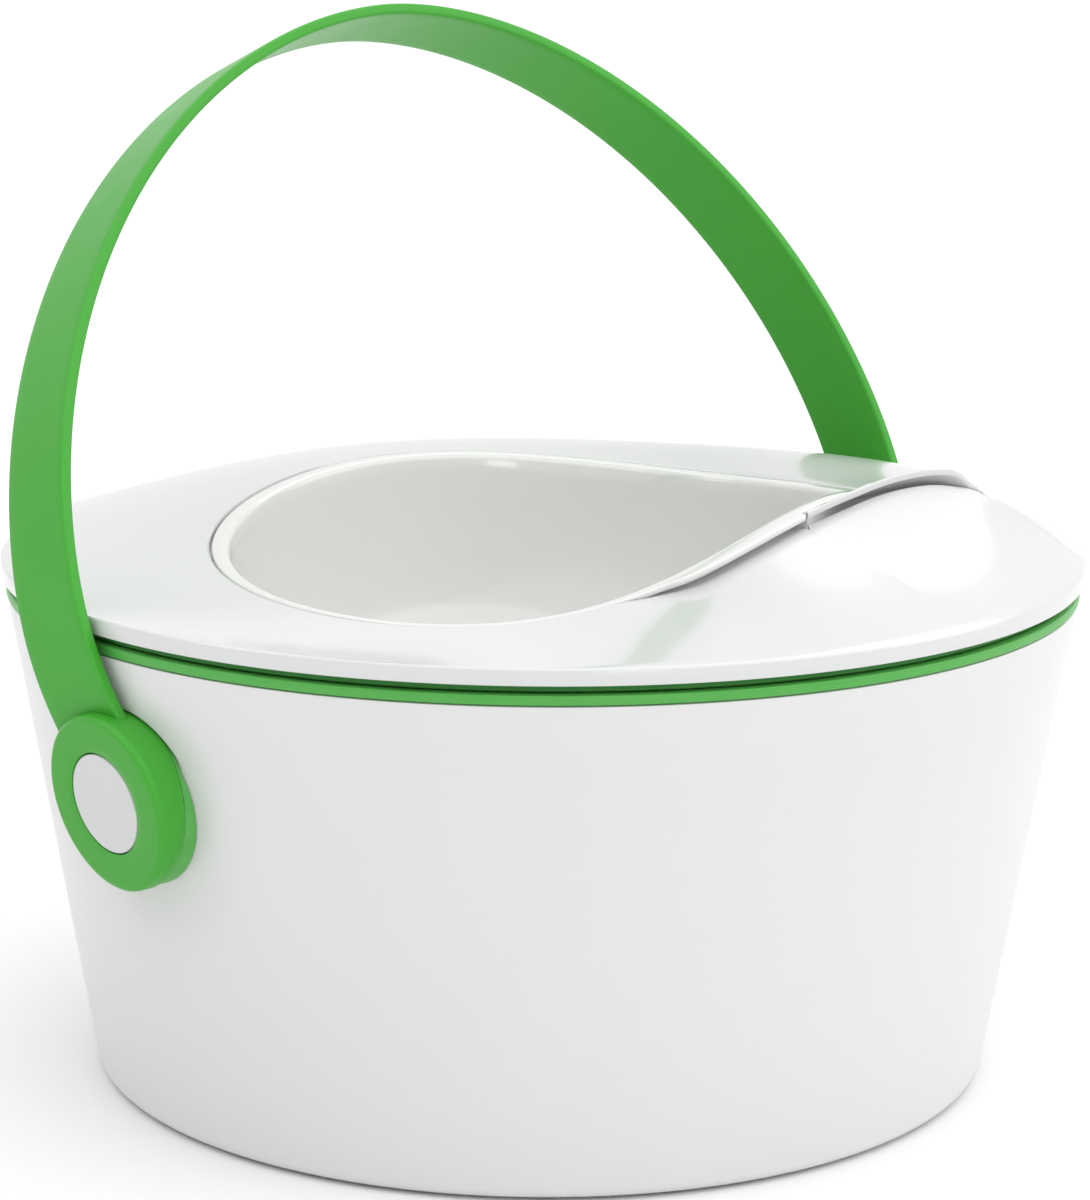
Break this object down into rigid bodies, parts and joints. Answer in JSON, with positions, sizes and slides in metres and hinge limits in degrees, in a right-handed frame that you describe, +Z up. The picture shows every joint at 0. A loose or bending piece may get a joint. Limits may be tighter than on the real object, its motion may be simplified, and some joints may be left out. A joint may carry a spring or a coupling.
{
  "type": "portable potty with carry handle",
  "caption": "Round tapered tub with a swirled seat rising to a splash crest, a lift-out bowl and a wide strap handle that swings over the top on side hubs.",
  "frame": {"origin": "on the floor, under the middle of the tub", "axes": "+Z up; +X along the handle's pivot axis, towards the right hub; +Y towards the back, where the handle leans"},
  "size_m": [0.3144, 0.303, 0.2945],
  "materials": {
    "white_shell": "gloss white moulded plastic",
    "white_seat": "high gloss white moulded plastic",
    "white_pot": "high gloss warm white moulded plastic",
    "white_cap": "satin white moulded plastic",
    "green_handle": "satin green flexible plastic",
    "green_trim": "satin green plastic",
    "green_seal": "dull dark green soft plastic",
    "foot_rubber": "matt grey soft rubber",
    "pivot_plastic": "plain light grey plastic"
  },
  "bodies": {
    "tub_body": {"tub": "white_shell", "foot_1": "foot_rubber", "foot_2": "foot_rubber", "foot_3": "foot_rubber", "foot_4": "foot_rubber", "tub_rim_ring": "green_trim", "pivot_base_left": "green_trim", "pivot_base_right": "green_trim", "pivot_pin_left": "pivot_plastic", "pivot_pin_right": "pivot_plastic", "pivot_washer_left": "foot_rubber", "pivot_washer_right": "foot_rubber", "pivot_nut_left": "pivot_plastic", "pivot_nut_right": "pivot_plastic"},
    "seat_body": {"seat": "white_seat", "seat_gasket": "green_seal"},
    "pot_body": {"inner_pot": "white_pot"},
    "handle_body": {"handle_strap": "green_handle", "handle_hub_left": "green_handle", "handle_hub_right": "green_handle", "pivot_cap_left": "white_cap", "pivot_cap_right": "white_cap"}
  },
  "joints": [
    {"name": "handle_swing", "type": "hinge", "parent": "tub_body", "child": "handle_body", "pos_m": [0, 0, 0.1], "axis": [1, 0, 0], "range_deg": [-88, 131]},
    {"name": "seat_lift", "type": "slide", "parent": "tub_body", "child": "seat_body", "axis": [0, 0, 1], "range_m": [0, 0.012]},
    {"name": "pot_lift", "type": "slide", "parent": "seat_body", "child": "pot_body", "axis": [0, 0, 1], "range_m": [0, 0.085]}
  ]
}
